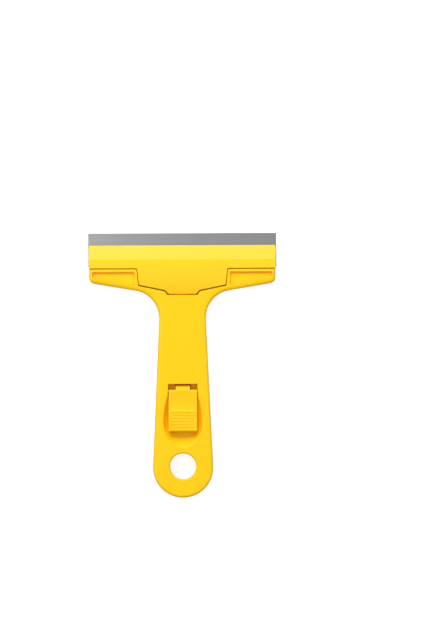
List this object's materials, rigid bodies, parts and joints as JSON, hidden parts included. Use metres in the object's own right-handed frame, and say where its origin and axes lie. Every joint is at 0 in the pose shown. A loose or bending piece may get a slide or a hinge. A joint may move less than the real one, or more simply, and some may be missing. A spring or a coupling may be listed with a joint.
{
  "type": "razor blade scraper",
  "caption": "T-shaped hand scraper with a straight steel blade under a hinged clamp, a flip-up locking lever over a finger dish, and a hang hole.",
  "frame": {"origin": "centre of the hang hole, on the back plane that the scraper lies on", "axes": "+Y from the hang hole to the blade's edge, +Z out of the front face through the hang hole, X across the blade"},
  "size_m": [0.1, 0.1405, 0.0139],
  "materials": {
    "shell_yellow": "injection-moulded yellow ABS, satin gloss",
    "cover_yellow": "injection-moulded yellow ABS, satin gloss",
    "lever_yellow": "injection-moulded yellow ABS, satin gloss",
    "blade_steel": "rolled blade steel with a ground edge",
    "pin_steel": "drawn steel wire",
    "screw_steel": "zinc-plated steel",
    "bar_white": "natural white acetal"
  },
  "bodies": {
    "handle": {"handle_shell": "shell_yellow", "back_cover": "shell_yellow", "back_screws": "screw_steel", "blade": "blade_steel", "clamp_pin": "pin_steel", "lever_pin": "pin_steel"},
    "lever": {"lever": "lever_yellow"},
    "bar": {"push_bar": "bar_white"},
    "clamp": {"clamp_cover": "cover_yellow", "heel_pin": "pin_steel"}
  },
  "joints": [
    {"name": "lever_hinge", "type": "hinge", "parent": "handle", "child": "lever", "pos_m": [0, 0.0398, 0.0094], "axis": [-1, 0, 0], "range_deg": [0, 80]},
    {"name": "bar_slide", "type": "slide", "parent": "handle", "child": "bar", "axis": [0, -1, 0], "range_m": [0, 0.00671]},
    {"name": "clamp_hinge", "type": "hinge", "parent": "handle", "child": "clamp", "pos_m": [0, 0.093, 0.0086], "axis": [1, 0, 0], "range_deg": [0, 6.5]}
  ],
  "couplings": [
    {"joint": "bar_slide", "follows": "lever_hinge", "m_per_rad": 0.0048076},
    {"joint": "clamp_hinge", "follows": "lever_hinge", "ratio": 0.08125}
  ]
}
